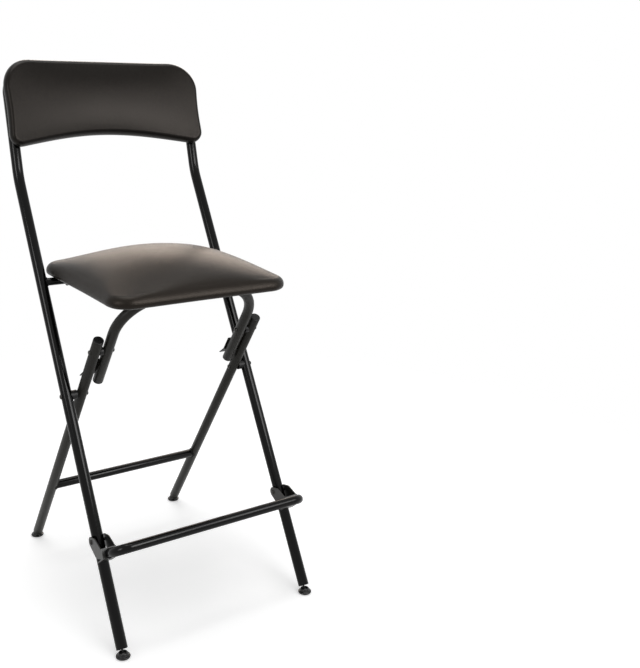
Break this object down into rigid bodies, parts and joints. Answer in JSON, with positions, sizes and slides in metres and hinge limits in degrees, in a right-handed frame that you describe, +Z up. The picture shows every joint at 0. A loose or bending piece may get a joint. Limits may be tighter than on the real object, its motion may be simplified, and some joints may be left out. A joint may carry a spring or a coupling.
{
  "type": "folding bar stool",
  "caption": "Folding bar stool with a back: crossed tube frames, an upholstered seat on a folding bow, a bowed upholstered back and a flip-up footrest.",
  "frame": {"origin": "on the floor, under the middle of the stool's overall width and depth", "axes": "+Z up; -Y is the way the sitter faces; +X is on the right when the stool is looked at from its front towards its back"},
  "size_m": [0.4502, 0.6062, 1.0816],
  "materials": {
    "gloss_black_paint": "gloss black powder coat",
    "satin_dark_paint": "satin warm dark grey paint",
    "bracket_paint": "satin dark paint on pressed steel",
    "dark_rivet": "blackened steel",
    "black_plastic": "matt black moulded plastic",
    "glide_plastic": "gloss black moulded plastic",
    "seat_vinyl": "fine-grained warm grey-brown vinyl",
    "back_vinyl": "fine-grained warm grey-brown vinyl",
    "board": "black-stained plywood"
  },
  "bodies": {
    "main_frame": {"frame_top_tube": "gloss_black_paint", "seat_rear_rail": "gloss_black_paint", "back_cushion": "back_vinyl", "back_board": "board", "main_leg_left": "gloss_black_paint", "main_leg_right": "gloss_black_paint", "cross_rivet_left": "dark_rivet", "cross_rivet_right": "dark_rivet", "cross_spacer_left": "black_plastic", "cross_spacer_right": "black_plastic", "footrest_rivet_left": "dark_rivet", "footrest_rivet_right": "dark_rivet", "hinge_lug_left": "gloss_black_paint", "hinge_lug_right": "gloss_black_paint", "hinge_lug_pin_left": "dark_rivet", "hinge_lug_pin_right": "dark_rivet", "main_foot_plug_left": "black_plastic", "main_foot_plug_right": "black_plastic", "back_screw_left_1": "dark_rivet", "back_screw_left_2": "dark_rivet", "back_screw_right_1": "dark_rivet", "back_screw_right_2": "dark_rivet"},
    "rear_frame": {"rear_stretcher": "satin_dark_paint", "rear_leg_left": "satin_dark_paint", "rear_leg_right": "satin_dark_paint", "link_rivet_left": "dark_rivet", "link_rivet_right": "dark_rivet", "link_spacer_left": "black_plastic", "link_spacer_right": "black_plastic", "rear_leg_cap_left": "black_plastic", "rear_leg_cap_right": "black_plastic", "rear_foot_plug_left": "black_plastic", "rear_foot_plug_right": "black_plastic"},
    "folding_bow": {"seat_bow": "satin_dark_paint", "bow_cap_left": "black_plastic", "bow_cap_right": "black_plastic", "bow_stop_left": "satin_dark_paint", "bow_stop_right": "satin_dark_paint"},
    "seat": {"seat_cushion": "seat_vinyl", "seat_board": "board", "rail_strap_left": "bracket_paint", "rail_strap_right": "bracket_paint", "hinge_bracket_left": "bracket_paint", "hinge_bracket_right": "bracket_paint", "hinge_bracket_pin_left": "dark_rivet", "hinge_bracket_pin_right": "dark_rivet"},
    "footrest": {"footrest_bar": "gloss_black_paint", "footrest_bracket_left": "bracket_paint", "footrest_bracket_right": "bracket_paint"},
    "front_glide_left": {"main_foot_glide_left": "glide_plastic"},
    "rear_glide_left": {"rear_foot_glide_left": "glide_plastic"},
    "front_glide_right": {"main_foot_glide_right": "glide_plastic"},
    "rear_glide_right": {"rear_foot_glide_right": "glide_plastic"}
  },
  "joints": [
    {"name": "frame_fold", "type": "hinge", "parent": "main_frame", "child": "rear_frame", "pos_m": [0, -0.03443, 0.434], "axis": [-1, 0, 0], "range_deg": [0, 64]},
    {"name": "bow_fold", "type": "hinge", "parent": "rear_frame", "child": "folding_bow", "pos_m": [0, -0.10295, 0.53855], "axis": [1, 0, 0], "range_deg": [0, 159.6]},
    {"name": "seat_tip", "type": "hinge", "parent": "folding_bow", "child": "seat", "pos_m": [0, -0.17859, 0.65397], "axis": [-1, 0, 0], "range_deg": [0, 42]},
    {"name": "footrest_flip", "type": "hinge", "parent": "main_frame", "child": "footrest", "pos_m": [0, -0.18077, 0.1885], "axis": [-1, 0, 0], "range_deg": [0, 90]},
    {"name": "front_glide_left_tilt", "type": "hinge", "parent": "main_frame", "child": "front_glide_left", "pos_m": [-0.207, -0.28897, 0.007], "axis": [1, 0, 0], "range_deg": [-6, 6]},
    {"name": "rear_glide_left_tilt", "type": "hinge", "parent": "rear_frame", "child": "rear_glide_left", "pos_m": [-0.1755, 0.24541, 0.007], "axis": [1, 0, 0], "range_deg": [-6, 6]},
    {"name": "front_glide_right_tilt", "type": "hinge", "parent": "main_frame", "child": "front_glide_right", "pos_m": [0.207, -0.28897, 0.007], "axis": [1, 0, 0], "range_deg": [-6, 6]},
    {"name": "rear_glide_right_tilt", "type": "hinge", "parent": "rear_frame", "child": "rear_glide_right", "pos_m": [0.1755, 0.24541, 0.007], "axis": [1, 0, 0], "range_deg": [-6, 6]}
  ],
  "couplings": [
    {"joint": "bow_fold", "follows": "frame_fold", "ratio": 2.4937},
    {"joint": "seat_tip", "follows": "frame_fold", "ratio": 0.65625}
  ]
}
